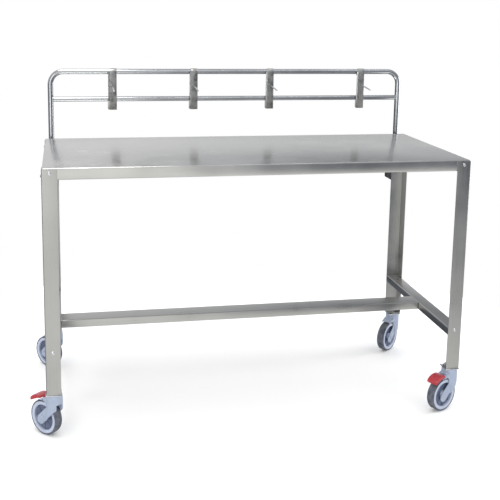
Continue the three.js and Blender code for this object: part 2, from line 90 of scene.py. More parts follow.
# A wheel's section: its tread, its raised ring, its hub and its ribbed disc, from the middle out.
TREAD_HALF, TREAD_ROUND, TREAD_CROWN, TREAD_FLAT = 16 * MM, 3.6 * MM, 0.5 * MM, 0.3
RING_FACE, RING_LIP = 15.2 * MM, 1.4 * MM
HUB, HUB_REACH, HUB_BORE, HUB_EDGE = 15 * MM, 16.8 * MM, 5.4 * MM, 2 * MM
WEB, RIB, RIB_HALF, RIB_EDGE, OVERLAP = 7 * MM, 8.6 * MM, 1.3 * MM, 0.5 * MM, 1 * MM
AXLE, AXLE_REACH, AXLE_HEAD, AXLE_DOME = 5 * MM, 21.2 * MM, 8.4 * MM, 2.2 * MM
CAP_RIM, CAP_RISE = 2 * MM, 0.8 * MM  # how far an axle's cap stands round and over its head

# What the steel mirrors: the brightness of the studio's two halves, as rows of (X, brightness)
# stops at rising heights, both parts of the direction.
FRONT_ROWS = (
    (-0.35, ((-1.0, 0.5), (0.0, 1.1), (0.5, 1.15), (1.0, 0.6))),
    (-0.27, ((-1.0, 0.26), (-0.5, 0.9), (-0.02, 1.36), (0.12, 0.8), (0.3, 0.14), (0.5, 0.12), (1.0, 0.35))),
    (-0.1, ((-1.0, 0.3), (-0.5, 0.9), (-0.02, 1.3), (0.12, 0.75), (0.3, 0.14), (0.5, 0.12), (1.0, 0.35))),
    (0.3, ((-1.0, 0.5), (-0.5, 0.8), (-0.02, 1.05), (0.15, 0.6), (0.3, 0.4), (0.45, 0.4), (1.0, 0.35))),
    (0.8, ((-1.0, 0.6), (0.0, 0.7), (1.0, 0.55))),
)
BACK_ROWS = (
    (-0.12, ((-1.0, 0.1), (-0.25, 0.06), (0.0, 0.28), (0.3, 0.36), (1.0, 0.34))),
    (0.02, ((-1.0, 0.64), (-0.5, 0.88), (0.0, 0.9), (0.3, 0.88), (0.5, 0.84), (1.0, 0.4))),
    (0.22, ((-1.0, 0.64), (-0.5, 0.88), (0.0, 0.9), (0.3, 0.86), (0.5, 0.8), (1.0, 0.4))),
    (0.34, ((-1.0, 0.64), (-0.3, 0.86), (0.0, 0.82), (0.2, 0.5), (0.3, 0.12), (0.5, 0.1), (1.0, 0.25))),
    (0.8, ((-1.0, 0.6), (0.0, 0.7), (1.0, 0.55))),
)
DARK_GREEN, DARK_BLUE = 0.96, 0.85  # powers that cool the dark parts of the studio
BACKDROP = 1.3  # what lights the floor and the mouldings
SIDE_BLEND = 0.3  # how far the studio's halves run into each other
AIM_HEIGHT = 0.6  # metres above the floor, where the softboxes point
SENSOR = 36  # mm
# Name, place from the worktop's middle, size and power.
SOFTBOXES = (
    ("overhead_softbox", (-0.8, -0.3, 2.9), (1.3, 0.9), 24),
    ("left_softbox", (-2.0, -3.0, 1.3), (0.4, 2.0), 10),
    ("right_softbox", (3.0, 0.5, 0.9), (0.8, 1.6), 22),
    ("overhead_strip", (0.5, -0.5, 2.9), (3.4, 0.12), 5),
)


def linear(code, alpha=1.0):
    """An sRGB hex colour as the linear colour that shaders take."""
    channels = [int(code[i:i + 2], 16) / 255 for i in (1, 3, 5)]
    return (*(c / 12.92 if c <= 0.04045 else ((c + 0.055) / 1.055) ** 2.4 for c in channels), alpha)


# ------------------------------------------------------------------ sizes and colours


def length(name, description, default):
    return bpy.props.FloatProperty(name=name, description=description, default=default, min=0, unit="LENGTH")


def colour(name, description, code):
    return bpy.props.FloatVectorProperty(
        name=name, description=description, default=linear(code), size=4, min=0, max=1, subtype="COLOR"
    )


class CartSheetSettings(bpy.types.PropertyGroup):
    """Sizes and colours of the folded and bent steel pieces."""

    sheet: length("Sheet", "Thickness of the folded trays", 1.5 * MM)
    leg_sheet: length("Leg sheet", "Thickness of the angle legs", 2 * MM)
    pan_fold: length("Worktop fold", "Outside radius of the worktop's folds", 4 * MM)
    pan_lip: length("Worktop lip", "Width of the lip under the worktop's skirts", 15 * MM)
    rail_fold: length("Rail fold", "Outside radius of the lower rails' folds", 3 * MM)
    rail_lip: length("Rail lip", "Width of the lips under the lower rails", 8 * MM)
    hoop_bend: length("Hoop bend", "Centre-line radius of the rail hoop's bends", 51 * MM)
    worktop_steel: colour("Worktop", "Colour of the worktop's rolled steel", "#C1C1BE")
    frame_steel: colour("Frame", "Colour of the legs' and rails' satin steel", "#B4B4B1")
    tube_steel: colour("Tube", "Colour of the polished tube", "#B8BABC")
    hanger_steel: colour("Hangers", "Colour of the coarsely brushed hangers", "#A5A5A2")
    bolt_steel: colour("Fasteners", "Colour of the bright fasteners", "#DADCDE")


class CartCasterSettings(bpy.types.PropertyGroup):
    """Sizes and colours of the casters and of the moulded pieces."""

    moulding_round: length("Moulding round", "Grid that rounds the edges of the caster housings", 1.1 * MM)
    ring_inner: length("Ring", "Inner radius of the raised ring on a wheel", 45.5 * MM)
    tread: length("Tread", "Thickness of a wheel's tread", 5 * MM)
    housing: colour("Housing", "Colour of the moulded caster housings", "#97A2B6")
    wheel_ring: colour("Wheel ring", "Colour of the wheels' rings and hubs", "#ADB6C9")
    wheel_disc_painted_shade: colour("Wheel disc", "Colour of the wheels' recessed discs", "#515C78")
    # The recessed disc's colour is the wheel body's plastic darkened by painted shade, standing in for the
    # shade in its deep recess.
    tread_rubber: colour("Tread", "Colour of the elastic treads", "#363D4E")
    pedal: colour("Pedal", "Colour of the brake pedals", "#A81A2A")
    black: colour("Black plastic", "Colour of the sockets and guides", "#17181A")


class CartStageSettings(bpy.types.PropertyGroup):
    """The camera, the light and the floor."""

    camera_offset: bpy.props.FloatVectorProperty(
        name="Camera", description="Camera's place from the middle of the worktop, on the floor",
        default=(-0.6683, -3.2471, 1.4921), unit="LENGTH",
    )
    camera_turn: bpy.props.FloatVectorProperty(
        name="Camera turn", description="Camera's heading from +Y, its pitch and its roll",
        default=(math.radians(11.2), math.radians(-10.1), math.radians(0.9)), unit="ROTATION",
    )
    lens: bpy.props.FloatProperty(name="Lens", description="Focal length in millimetres", default=64.36)
    shift: bpy.props.FloatVectorProperty(
        name="Shift", description="Shift of the view, as parts of its width", default=(0.019, -0.179), size=2
    )
    floor_radius: length("Floor", "Radius of the floor", 1.6)
    floor_paint: colour("Floor paint", "Colour of the plain pale floor", "#F7F7F7")


# ------------------------------------------------------------------ materials


def add_node(tree, kind, values=None, links=None, **settings):
    """Adds a node with its settings, its constant inputs and its links."""
    node = tree.nodes.new(kind)
    for name, value in settings.items():
        setattr(node, name, value)
    for name, value in (values or {}).items():
        node.inputs[name].default_value = value
    for name, source in (links or {}).items():
        tree.links.new(source, node.inputs[name])
    return node


def new_material(name):
    """An empty material with its output, its surface shader and Object coordinates."""
    material = bpy.data.materials.new(name)
    material.use_nodes = True
    tree = material.node_tree
    tree.nodes.clear()
    shader = add_node(tree, "ShaderNodeBsdfPrincipled")
    output = add_node(tree, "ShaderNodeOutputMaterial", links={"Surface": shader.outputs["BSDF"]})
    output.is_active_output = True
    return material, tree, shader, add_node(tree, "ShaderNodeTexCoord").outputs["Object"]


LINE_LENGTH = 260  # widths of a line
STEEL_MIX = {"From Min": 0.55, "From Max": 1.05}  # where the lines' and clouds' sum mostly lies
SCUFFS = 55.0  # to a metre, which is one in about 18 mm
SCUFF_LOW, SCUFF_HIGH = 0.3, 0.75  # where the scuffs' noise mostly lies


def steel(name, base, grain, line, rough, spread, depth, cloud=0.16, streak=0.6):
    """Stainless steel with fine lines along its grain, which is an axis or None.

    The lines are line wide in metres and depth deep. The mill's rolling and wiping leave broad
    faint clouds, which change its tone and its gloss by spread.
    """
    if name in bpy.data.materials:
        return bpy.data.materials[name]
    material, tree, shader, place = new_material(name)
    across = 1 / line
    along = across / LINE_LENGTH
    scale = [along if grain == axis else across for axis in "XYZ"]
    stretch = add_node(tree, "ShaderNodeMapping", {"Scale": scale}, {"Vector": place})
    lines = add_node(
        tree, "ShaderNodeTexNoise", {"Scale": 1.0, "Detail": 3.0, "Roughness": 0.6},
        {"Vector": stretch.outputs["Vector"]},
    )
    clouds = add_node(
        tree, "ShaderNodeTexNoise", {"Scale": 1 / cloud, "Detail": 2.0, "Roughness": 0.5}, {"Vector": place}
    )
    mixed = add_node(
        tree, "ShaderNodeMath", {1: 0.6}, {0: lines.outputs["Fac"], 2: clouds.outputs["Fac"]},
        operation="MULTIPLY_ADD",
    )
    level = add_node(tree, "ShaderNodeMapRange", STEEL_MIX, {"Value": mixed.outputs["Value"]})
    tones = add_node(tree, "ShaderNodeValToRGB", links={"Fac": level.outputs["Result"]})
    shade = 1 - 0.6 * spread
    tones.color_ramp.elements[0].color = [channel * shade for channel in base[:3]] + [1]
    tones.color_ramp.elements[1].color = [min(1, channel / shade) for channel in base[:3]] + [1]
    gloss = add_node(
        tree, "ShaderNodeMapRange",
        {**STEEL_MIX, "To Min": rough * (1 - spread), "To Max": rough * (1 + spread)},
        {"Value": mixed.outputs["Value"]},
    )
    bump = add_node(
        tree, "ShaderNodeBump", {"Strength": 1.0, "Distance": depth}, {"Height": lines.outputs["Fac"]}
    )
    tree.links.new(tones.outputs["Color"], shader.inputs["Base Color"])
    tree.links.new(gloss.outputs["Result"], shader.inputs["Roughness"])
    tree.links.new(bump.outputs["Normal"], shader.inputs["Normal"])
    shader.inputs["Metallic"].default_value = 1.0
    if grain:
        # The grain draws reflections out across itself.
        across = [0 if grain == axis else 1 for axis in "XYZ"]
        tangent = add_node(tree, "ShaderNodeCombineXYZ", dict(zip("XYZ", across)))
        tree.links.new(tangent.outputs["Vector"], shader.inputs["Tangent"])
        shader.inputs["Anisotropic"].default_value = streak
    return material


def moulded(name, base, rough, grit, depth, spread=0.06, ior=1.5, coat=0.0):
    """Moulded plastic or rubber: an even skin with a fine grit, and faint scuffs that dull it."""
    if name in bpy.data.materials:
        return bpy.data.materials[name]
    material, tree, shader, place = new_material(name)
    skin = add_node(
        tree, "ShaderNodeTexNoise", {"Scale": 1 / grit, "Detail": 2.0, "Roughness": 0.6}, {"Vector": place}
    )
    scuffs = add_node(
        tree, "ShaderNodeTexNoise", {"Scale": SCUFFS, "Detail": 4.0, "Roughness": 0.65, "Distortion": 0.4},
        {"Vector": place},
    )
    tones = add_node(tree, "ShaderNodeValToRGB", links={"Fac": scuffs.outputs["Fac"]})
    clean, dusty = tones.color_ramp.elements
    clean.position, dusty.position = SCUFF_LOW, SCUFF_HIGH
    clean.color = [channel * (1 - spread) for channel in base[:3]] + [1]
    dusty.color = [channel + (1 - channel) * spread * 0.6 for channel in base[:3]] + [1]
    gloss = add_node(
        tree, "ShaderNodeMapRange",
        {
            "From Min": SCUFF_LOW, "From Max": SCUFF_HIGH,
            "To Min": rough * 0.85, "To Max": min(1.0, rough * 1.25),
        },
        {"Value": scuffs.outputs["Fac"]},
    )
    bump = add_node(
        tree, "ShaderNodeBump", {"Strength": 0.6, "Distance": depth}, {"Height": skin.outputs["Fac"]}
    )
    tree.links.new(tones.outputs["Color"], shader.inputs["Base Color"])
    tree.links.new(gloss.outputs["Result"], shader.inputs["Roughness"])
    tree.links.new(bump.outputs["Normal"], shader.inputs["Normal"])
    shader.inputs["IOR"].default_value = ior
    shader.inputs["Coat Weight"].default_value = coat
    shader.inputs["Coat Roughness"].default_value = 0.12
    return material


def worktop_steel(settings):
    # Cold-rolled 2B sheet, wiped clean: a soft mirror, drawn out a little across its rolling lines.
    # The real lines are about 0.05 mm wide and are drawn at 0.7 mm so that they show.
    return steel("cold_rolled_stainless", settings.worktop_steel, "X", 0.7 * MM, 0.24, 0.16, 0.006 * MM)


def satin_steel(settings, grain):
    # Satin-ground sheet: a broad sheen drawn out across its grain, which runs along each piece.
    # The grinding lines are drawn at 0.8 mm so that they show.
    name = f"satin_stainless_{grain.lower()}"
    return steel(name, settings.frame_steel, grain, 0.8 * MM, 0.3, 0.18, 0.004 * MM)


def tube_steel(settings, grain):
    # Polished welded tube: bright, with the faintest of polishing lines, drawn at 1.2 mm.
    name = f"polished_stainless_{grain.lower()}"
    return steel(name, settings.tube_steel, grain, 1.2 * MM, 0.13, 0.2, 0.0003 * MM, streak=0)


def hanger_steel(settings):
    # Coarsely brushed strip: dark, with scratches down its length, drawn at 1.6 mm.
    return steel("brushed_stainless_strip", settings.hanger_steel, "Z", 1.6 * MM, 0.34, 0.4, 0.02 * MM, 0.02)


def bolt_steel(settings):
    # Bright turned fasteners: almost a mirror, with small tool marks.
    return steel("bright_turned_stainless", settings.bolt_steel, None, 1.5 * MM, 0.16, 0.25, 0.002 * MM, 0.01)


def housing_plastic(settings):
    # Glass-filled nylon, moulded: satin, with a fine even grit.
    return moulded("glass_filled_nylon_grey", settings.housing, 0.4, 0.9 * MM, 0.03 * MM)


def ring_plastic(settings):
    # Polypropylene wheel body: a little glossier than the housings.
    return moulded("polypropylene_grey", settings.wheel_ring, 0.33, 1.2 * MM, 0.02 * MM)


def disc_plastic_painted_shade(settings):
    # The same wheel body in its deep recess: its colour is darkened by painted shade for the recess, and it
    # is dulled by dust.
    return moulded("polypropylene_recess_painted_shade", settings.wheel_disc_painted_shade, 0.5, 1.0 * MM, 0.04 * MM, 0.12)


def tread_rubber(settings):
    # Thermoplastic elastomer tread: matt, picking up dust where it rolls.
    return moulded("elastomer_tread", settings.tread_rubber, 0.62, 0.8 * MM, 0.06 * MM, 0.2)


def pedal_plastic(settings):
    # Acetal, moulded in red: glossy where shoes have not scuffed it.
    return moulded("acetal_red", settings.pedal, 0.3, 1.5 * MM, 0.02 * MM, 0.1, 1.48, 0.25)


def black_plastic(settings):
    # Black ABS with a spark-eroded grain.
    return moulded("abs_black", settings.black, 0.5, 0.7 * MM, 0.05 * MM, 0.1)


# ------------------------------------------------------------------ shaping


def sheet_settings():
    return bpy.context.scene.cart_sheet


def caster_settings():
    return bpy.context.scene.cart_casters


def mesh_of(name, bm):
    """The mesh of a finished bmesh."""
    mesh = bpy.data.meshes.new(name)
    bm.to_mesh(mesh)
    bm.free()
    return mesh


def add_object(name, data):
    """A new object at the scene's origin."""
    made = bpy.data.objects.new(name, data)
    bpy.context.scene.collection.objects.link(made)
    return made


def finish_piece(name, bm, body, material, replaced=()):
    """Makes an object of a bmesh, sharp at its corners, and rides it on its body."""
    mesh = mesh_of(name, bm)
    mesh.shade_smooth()
    mesh.set_sharp_from_angle(angle=math.radians(CREASE))
    place_piece(name, mesh, body, material, replaced)


def place_piece(name, mesh, body, material, replaced=()):
    """Makes an object of a mesh with its material, and rides it on its body."""
    piece = add_object(name, mesh)
    mesh.materials.clear()
    mesh.materials.append(material)
    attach(piece, body)
    if replaced:
        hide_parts(*replaced)


def repaint(node, material):
    """Gives a CAD node that keeps its shape its finish."""
    piece = frame["nodes"][node]
    piece.data.materials.clear()
    piece.data.materials.append(material)


def span(node):
    """The lowest and highest corners of a CAD node, and its middle."""
    low, high = (Vector(corner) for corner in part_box(node))
    return low, high, (low + high) / 2


def facing(direction):
    """Turns Z to a direction."""
    return Vector(direction).to_track_quat("Z", "X").to_matrix().to_4x4()


def on_edge(start):
    """Stands a flat outline up on XZ, with its thickness along Y from start."""
    return Matrix(((1, 0, 0, 0), (0, 0, 1, start), (0, 1, 0, 0), (0, 0, 0, 1)))


def in_metres(points, out=0.0, up=0.0):
    """An outline given in mm, moved out and up."""
    return [(out + x * MM, up + y * MM) for x, y in points]


def verts_of(made):
    return [item for item in made if isinstance(item, bmesh.types.BMVert)]


def edges_of(made):
    return [item for item in made if isinstance(item, bmesh.types.BMEdge)]


def edges_at(verts):
    """Every edge that ends in one of some vertices."""
    return list({edge for vert in verts for edge in vert.link_edges})


def sharp_edges(bm, degrees=CREASE):
    """The edges between two faces that meet at more than an angle."""
    limit = math.radians(degrees)
    return [edge for edge in bm.edges if len(edge.link_faces) == 2 and edge.calc_face_angle(0) > limit]


def round_edges(bm, edges, radius, segments=2):
    bmesh.ops.bevel(
        bm, geom=edges, offset=radius, offset_type="OFFSET", segments=segments, profile=0.5,
        affect="EDGES", material=-1, clamp_overlap=True,
    )


def add_block(bm, low, high, radius=0.0, segments=2):
    """Adds a box with rounded edges."""
    low, high = Vector(low), Vector(high)
    place = Matrix.Translation((low + high) / 2) @ Matrix.Diagonal((*(high - low), 1))
    made = bmesh.ops.create_cube(bm, size=1, matrix=place)["verts"]
    if radius:
        round_edges(bm, edges_at(made), radius, segments)


def add_turned(bm, profile, place=None, steps=ROUND):
    """Spins a closed outline of (radius, height) points about Z, then puts it in place."""
    start = [bm.verts.new((radius, 0, height)) for radius, height in profile]
    edges = [bm.edges.new(pair) for pair in zip(start, start[1:])]
    if profile[0][0] > 0 or profile[-1][0] > 0:
        edges.append(bm.edges.new((start[-1], start[0])))
    before = set(bm.verts) - set(start)
    bmesh.ops.spin(
        bm, geom=start + edges, cent=(0, 0, 0), axis=UP, angle=math.tau, steps=steps, use_merge=True,
    )
    made = [vert for vert in bm.verts if vert not in before]
    bmesh.ops.remove_doubles(bm, verts=made, dist=MERGE)
    made = [vert for vert in bm.verts if vert not in before]
    faces = list({face for vert in made for face in vert.link_faces})
    bmesh.ops.recalc_face_normals(bm, faces=faces)
    if place is not None:
        bmesh.ops.transform(bm, matrix=place, verts=made)


def add_prism(bm, outline, rise, place=None):
    """A flat outline of (x, y) points raised along Z and closed."""
    face = bm.faces.new([bm.verts.new((x, y, 0)) for x, y in outline])
    top = verts_of(bmesh.ops.extrude_face_region(bm, geom=[face])["geom"])
    bmesh.ops.translate(bm, verts=top, vec=(0, 0, rise))
    made = list(face.verts) + top
    if place is not None:
        bmesh.ops.transform(bm, matrix=place, verts=made)
    bmesh.ops.recalc_face_normals(bm, faces=list({f for vert in made for f in vert.link_faces}))
    return made


def arc(centre, radius, start, end, steps):
    """Points on an arc about a centre, angles in degrees."""
    angles = (math.radians(start + (end - start) * step / steps) for step in range(steps + 1))
    return [(centre[0] + radius * math.cos(a), centre[1] + radius * math.sin(a)) for a in angles]


def folded_tray(low, high, fold, sheet, lip):
    """A tray of folded sheet, open below, with a lip turned in round its mouth."""
    bm = bmesh.new()
    add_block(bm, low, high)
    mouth = [face for face in bm.faces if face.normal.z < -0.5]
    bmesh.ops.inset_region(bm, faces=mouth, thickness=lip, use_even_offset=True)
    bmesh.ops.delete(bm, geom=mouth, context="FACES")
    round_edges(bm, sharp_edges(bm), fold, FOLD_STEPS)
    bmesh.ops.recalc_face_normals(bm, faces=bm.faces[:])
    bmesh.ops.solidify(bm, geom=bm.faces[:], thickness=sheet)
    bmesh.ops.recalc_face_normals(bm, faces=bm.faces[:])
    return bm


def swept_tube(radius, path_start, moves, steps=24):
    """A round tube from a start, through straight runs and bends, with closed ends.

    A move is ("run", vector) or ("bend", centre, axis, degrees).
    """
    bm = bmesh.new()
    ring = bmesh.ops.create_circle(
        bm, cap_ends=True, segments=steps, radius=radius, matrix=Matrix.Translation(path_start)
    )["verts"]
    edges = edges_at(ring)
    for kind, *how in moves:
        if kind == "run":
            made = bmesh.ops.extrude_edge_only(bm, edges=edges)["geom"]
            edges = edges_of(made)
            bmesh.ops.translate(bm, verts=verts_of(made), vec=how[0])
        else:
            centre, axis, degrees = how
            edges = edges_of(bmesh.ops.spin(
                bm, geom=edges, cent=centre, axis=axis, angle=math.radians(degrees), steps=BEND_STEPS,
            )["geom_last"])
    bmesh.ops.holes_fill(bm, edges=edges, sides=0)
    bmesh.ops.recalc_face_normals(bm, faces=bm.faces[:])
    return bm


def dome_profile(radius, height, seat, steps=6):
    """Half the outline of a domed bolt head that stands on seat."""
    return [(radius * x, seat + height * y) for x, y in arc((0, 0), 1, 0, 90, steps)]


def caster_place(corner):
    """Turns a caster's own axes to where it stands: X along the trail, Y along the axle."""
    swivel = JOINTS[f"swivel_{corner}"]
    axle = Vector(JOINTS[f"roll_{corner}"]["axis"])
    pin = Vector((*swivel["pos_m"][:2], 0))
    trail = axle.cross(UP)
    turn = Matrix((trail, axle, UP)).transposed().to_4x4()
    return Matrix.Translation(pin) @ turn


def wheel_place(corner):
    """Turns a turned piece's Z to the axle of a wheel."""
    roll = JOINTS[f"roll_{corner}"]
    return Matrix.Translation(roll["pos_m"]) @ facing(roll["axis"])


def own_axes(node, place):
    """A CAD node's merged shape, turned back to its caster's own axes."""
    bm = bmesh.new()
    bm.from_mesh(frame["nodes"][node].data)
    bmesh.ops.remove_doubles(bm, verts=bm.verts[:], dist=MERGE)
    bmesh.ops.transform(bm, matrix=place.inverted(), verts=bm.verts[:])
    return bm


def mould(name, bm, grid, passes, cutters=()):
    """Cuts a solid, then rounds every edge as a mould does, on a grid and by smoothing passes."""
    solid = add_object(name, mesh_of(name, bm))
    tools = [add_object("cutter", mesh_of("cutter", cutter)) for cutter in cutters]
    for tool in tools:
        cut = solid.modifiers.new("cut", "BOOLEAN")
        cut.operation, cut.object, cut.solver = "DIFFERENCE", tool, "EXACT"
        cut.use_self = True  # the solid's shells overlap, and without this the cut varies by run
    remesh = solid.modifiers.new("mould", "REMESH")
    remesh.mode, remesh.voxel_size = "VOXEL", grid
    smooth = solid.modifiers.new("soften", "SMOOTH")
    smooth.factor, smooth.iterations = 0.5, passes
    bpy.context.view_layer.update()
    seen = solid.evaluated_get(bpy.context.evaluated_depsgraph_get())
    mesh = bpy.data.meshes.new_from_object(seen)
    for piece in (solid, *tools):
        bpy.data.objects.remove(piece)
    mesh.shade_smooth()
    return mesh


# ------------------------------------------------------------------ the worktop and its frame


class CART_OT_worktop(bpy.types.Operator):
    """Folds the worktop pan and finishes the stiffener under it"""

    bl_idname = "cart.worktop"
    bl_label = "Worktop"

    def execute(self, context):
        settings = context.scene.cart_sheet
        low, high, _ = span("worktop")
        bm = folded_tray(low, high, settings.pan_fold, settings.sheet, settings.pan_lip)
        finish_piece("worktop_pan", bm, "frame", worktop_steel(settings), ["worktop"])
        repaint("worktop_stiffener", satin_steel(settings, "X"))
        return {"FINISHED"}


class CART_OT_legs(bpy.types.Operator):
    """Bends the angle legs and welds a foot plate into each"""

    bl_idname = "cart.legs"
    bl_label = "Legs"

    foot: length("Foot plate", "Thickness of the foot plates", 6 * MM)
    bend: length("Bend", "Outside radius of the legs' bend", 4 * MM)
    step: length("Step", "How far the foot plates stand inside the legs' faces", 0.8 * MM)
    clipped: length("Clipped corner", "How much of a foot plate's free corner is cut away", 18 * MM)
    eased: length("Eased edge", "Rounding of a foot plate's edges", 0.7 * MM)

    def execute(self, context):
        settings = context.scene.cart_sheet
        for name, (side_x, side_y) in CORNERS.items():
            low, high, _ = span(f"leg_{name}")
            flange = high.x - low.x
            corner = Vector((high.x if side_x > 0 else low.x, high.y if side_y > 0 else low.y, 0))
            place = Matrix.Translation(corner) @ Matrix.Diagonal((-side_x, -side_y, 1, 1))
            start = low.z + self.foot - self.step
            bm = bmesh.new()
            outline = [bm.verts.new((*point, start)) for point in ((flange, 0), (0, 0), (0, flange))]
            edges = [bm.edges.new(pair) for pair in zip(outline, outline[1:])]
            top = verts_of(bmesh.ops.extrude_edge_only(bm, edges=edges)["geom"])
            bmesh.ops.translate(bm, verts=top, vec=(0, 0, high.z - start))
            round_edges(bm, sharp_edges(bm), self.bend, FOLD_STEPS)
            bmesh.ops.recalc_face_normals(bm, faces=bm.faces[:])
            if sum(face.normal.x + face.normal.y for face in bm.faces) > 0:
                bmesh.ops.reverse_faces(bm, faces=bm.faces[:])
            bmesh.ops.solidify(bm, geom=bm.faces[:], thickness=settings.leg_sheet)
            inner, outer = self.step, flange - self.step
            plate = [
                (inner, inner), (outer, inner), (outer, outer - self.clipped),
                (outer - self.clipped, outer), (inner, outer),
            ]
            made = add_prism(bm, plate, self.foot, Matrix.Translation((0, 0, low.z)))
            round_edges(bm, edges_at(made), self.eased)
            bmesh.ops.transform(bm, matrix=place, verts=bm.verts[:])
            bmesh.ops.recalc_face_normals(bm, faces=bm.faces[:])
            finish_piece(
                f"angle_{name}", bm, "frame", satin_steel(settings, "Z"), [f"leg_{name}"]
            )
        return {"FINISHED"}


class CART_OT_rails(bpy.types.Operator):
    """Folds the three lower rails that tie the legs together"""

    bl_idname = "cart.rails"
    bl_label = "Lower rails"

    def execute(self, context):
        settings = context.scene.cart_sheet
        for node, grain in (("side_rail_left", "Y"), ("side_rail_right", "Y"), ("centre_rail", "X")):
            low, high, _ = span(node)
            bm = folded_tray(low, high, settings.rail_fold, settings.sheet, settings.rail_lip)
            finish_piece(f"{node}_tray", bm, "frame", satin_steel(settings, grain), [node])
        return {"FINISHED"}


class CART_OT_bolts(bpy.types.Operator):
    """Makes the domed bolts through both faces of each leg, with their washers"""

    bl_idname = "cart.bolts"
    bl_label = "Leg bolts"

    head: length("Head", "Radius of a bolt's head", 6.5 * MM)
    washer: length("Washer", "Thickness of a bolt's washer", 0.9 * MM)
    socket: length("Socket", "Radius of the key socket in a head", 2.6 * MM)
    dome: length("Dome", "Height of a bolt's domed head", 2.6 * MM)
    shank: length("Shank", "Radius of a bolt's shank", 3 * MM)
    reach: length("Reach", "Length of a bolt's shank", 8 * MM)
    drop: length("Drop", "How far the upper side bolts sit below the front and back ones", 12 * MM)

    def bolt(self, name, place, replaced):
        """One bolt on its washer, shaped by its proportions."""
        seat, rise = self.washer, self.dome
        top = dome_profile(self.head * 0.86, rise, seat, 7)
        rim = [point for point in top if point[0] > self.socket]
        sunk = seat + rise * 0.35
        profile = [
            (0, -self.reach), (self.shank * 0.9, -self.reach), (self.shank, -self.reach * 0.95),
            (self.shank, 0), (self.head, 0), (self.head, seat * 0.6), (self.head * 0.96, seat), *rim,
            (self.socket, seat + rise * 0.9), (self.socket, sunk), (0, sunk),
        ]
        bm = bmesh.new()
        add_turned(bm, profile, place, 28)
        finish_piece(name, bm, "frame", bolt_steel(sheet_settings()), replaced)

    def execute(self, context):
        for name, (side_x, side_y) in CORNERS.items():
            leg_low, leg_high, leg_middle = span(f"leg_{name}")
            face_y = leg_high.y if side_y > 0 else leg_low.y
            face_x = leg_high.x if side_x > 0 else leg_low.x
            for level, drop in (("top", self.drop), ("low", 0)):
                node = f"leg_bolt_{level}_{name}"
                _, _, middle = span(node)
                ahead = Matrix.Translation((middle.x, face_y, middle.z)) @ facing((0, side_y, 0))
                self.bolt(f"{node}_head", ahead, [node])
                aside = Matrix.Translation((face_x, leg_middle.y, middle.z - drop)) @ facing((side_x, 0, 0))
                self.bolt(f"side_bolt_{level}_{name}", aside, [])
        return {"FINISHED"}


# ------------------------------------------------------------------ the rail hoop


class CART_OT_hoop(bpy.types.Operator):
    """Bends the rail hoop and welds the middle rail between its uprights"""

    bl_idname = "cart.hoop"
    bl_label = "Rail hoop"

    bead: length("Weld bead", "Radius of the weld beads round the middle rail's ends", 1.6 * MM)

    def execute(self, context):
        settings = context.scene.cart_sheet
        low, high, middle = span("rail_hoop")
        tube = (high.y - low.y) / 2
        left, right, bend = low.x + tube, high.x - tube, settings.hoop_bend
        turn_z = high.z - tube - bend
        axis = Vector((0, 1, 0))
        bm = swept_tube(tube, (left, middle.y, low.z), [
            ("run", (0, 0, turn_z - low.z)),
            ("bend", (left + bend, middle.y, turn_z), axis, 90),
            ("run", (right - left - 2 * bend, 0, 0)),
            ("bend", (right - bend, middle.y, turn_z), axis, 90),
            ("run", (0, 0, low.z - turn_z)),
        ])
        finish_piece("hoop_tube", bm, "frame", tube_steel(settings, "Z"), ["rail_hoop"])

        low, high, middle = span("mid_rail")
        radius = (high.z - low.z) / 2
        bm = bmesh.new()
        along = Matrix.Translation((left, middle.y, middle.z)) @ Matrix.Rotation(math.radians(90), 4, "Y")
        reach = right - left
        buried = tube * 0.6  # the rail's ends stop inside the uprights
        add_turned(
            bm, [(0, buried), (radius, buried), (radius, reach - buried), (0, reach - buried)], along, 32
        )
        for station in (tube - self.bead * 0.4, reach - tube + self.bead * 0.4):
            ring = [(radius + x, station + y) for x, y in arc((0, 0), self.bead, 0, 360, 10)[:-1]]
            add_turned(bm, ring, along, 32)
        finish_piece("mid_rail_tube", bm, "frame", tube_steel(settings, "X"), ["mid_rail"])
        return {"FINISHED"}


